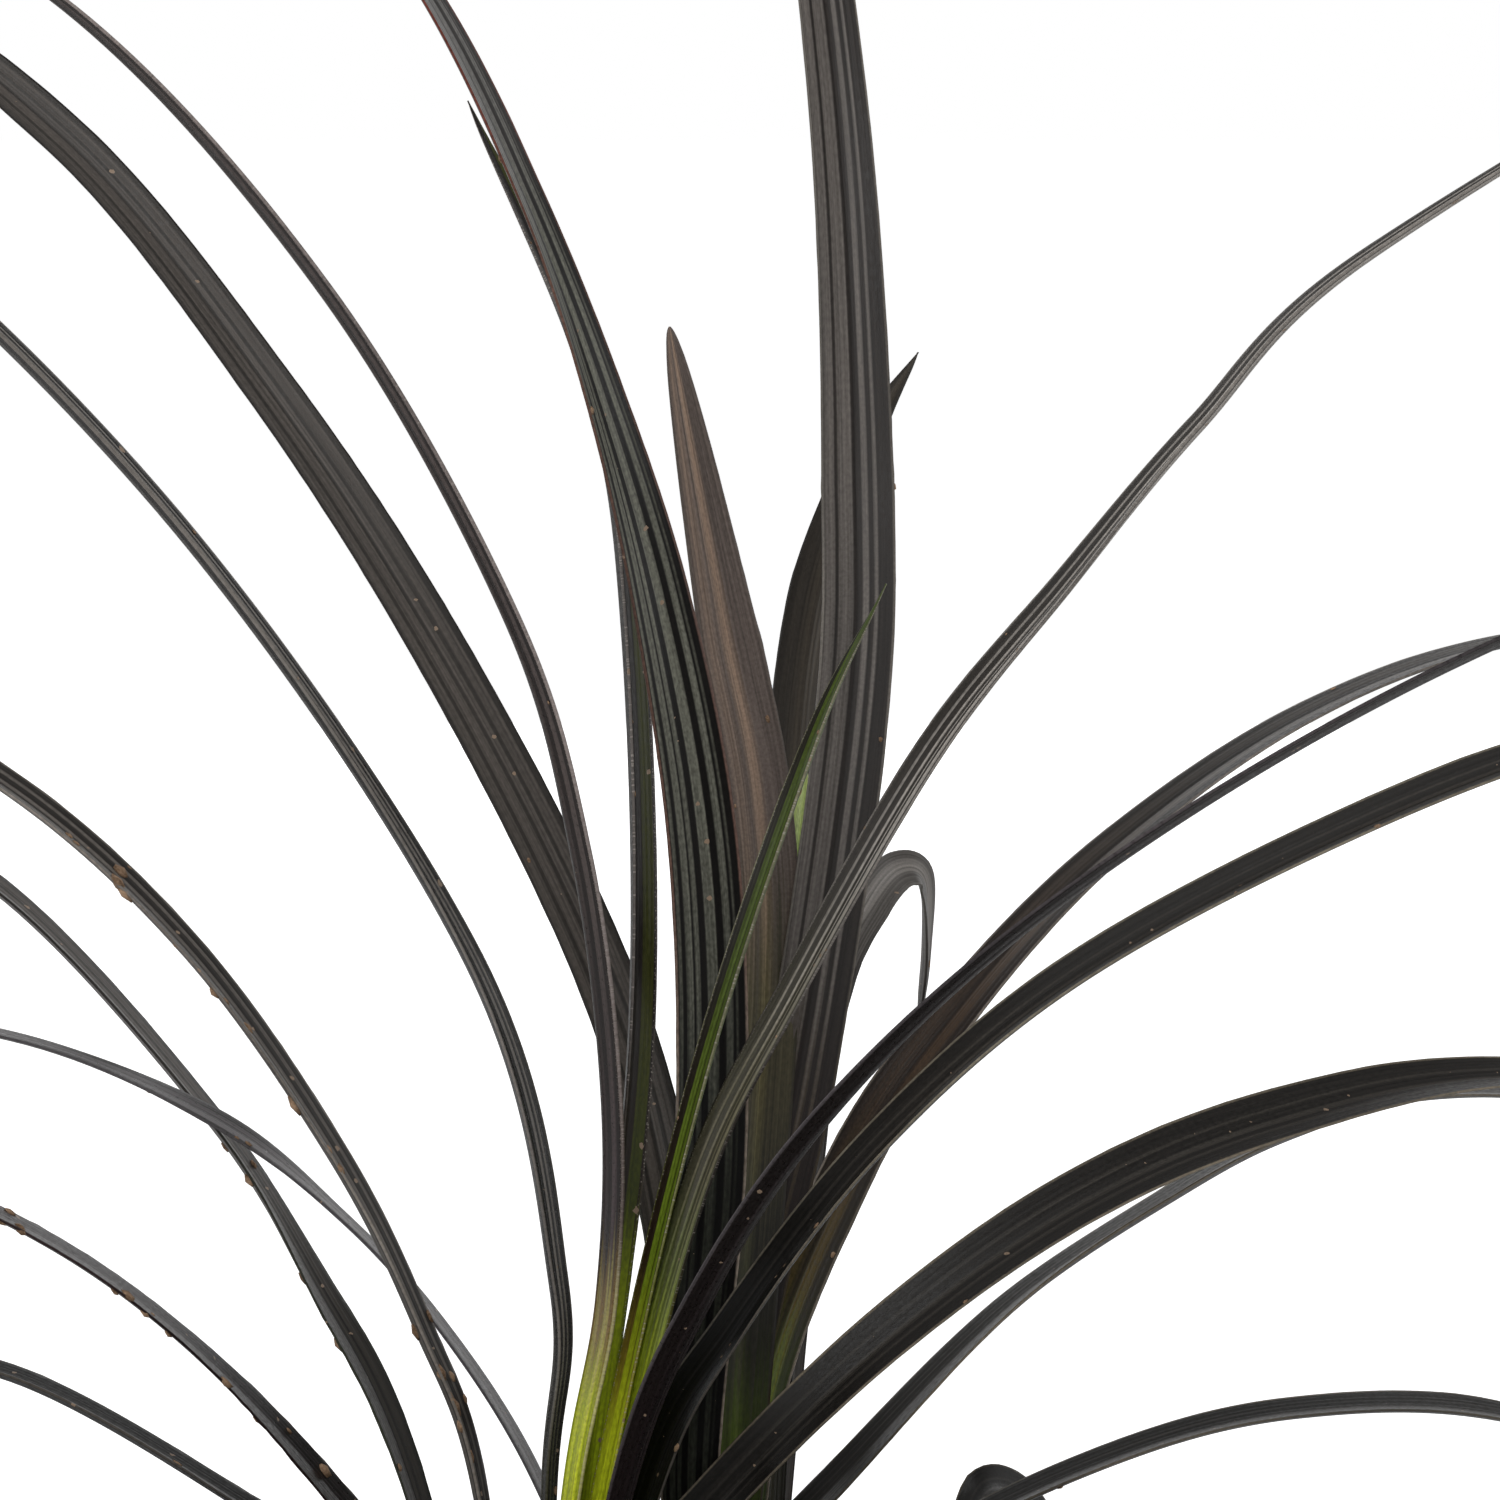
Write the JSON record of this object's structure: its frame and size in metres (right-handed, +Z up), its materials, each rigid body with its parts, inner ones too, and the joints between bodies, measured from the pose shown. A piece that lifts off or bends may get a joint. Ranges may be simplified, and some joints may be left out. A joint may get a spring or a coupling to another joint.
{
  "type": "potted black mondo grass",
  "caption": "Clump of narrow near-black arching strap leaves rising from several shoots in potting soil in a plain round nursery pot.",
  "frame": {"origin": "centre of the pot's flat underside", "axes": "+Z up out of the pot, +X to the right and -Y towards the front, where the yellow-green sheathed shoot stands"},
  "size_m": [0.2296, 0.2214, 0.2842],
  "materials": {
    "pot": "satin",
    "soil": "matte",
    "leaf": "satin",
    "leaf_front": "satin"
  },
  "bodies": {
    "root": {"pot": "pot", "soil": "soil", "shoot_front": "leaf_front", "shoot_middle": "leaf", "shoot_centre": "leaf", "shoot_back": "leaf", "shoot_left": "leaf", "shoot_front_right": "leaf", "shoot_back_left": "leaf", "shoot_right": "leaf"}
  },
  "joints": []
}
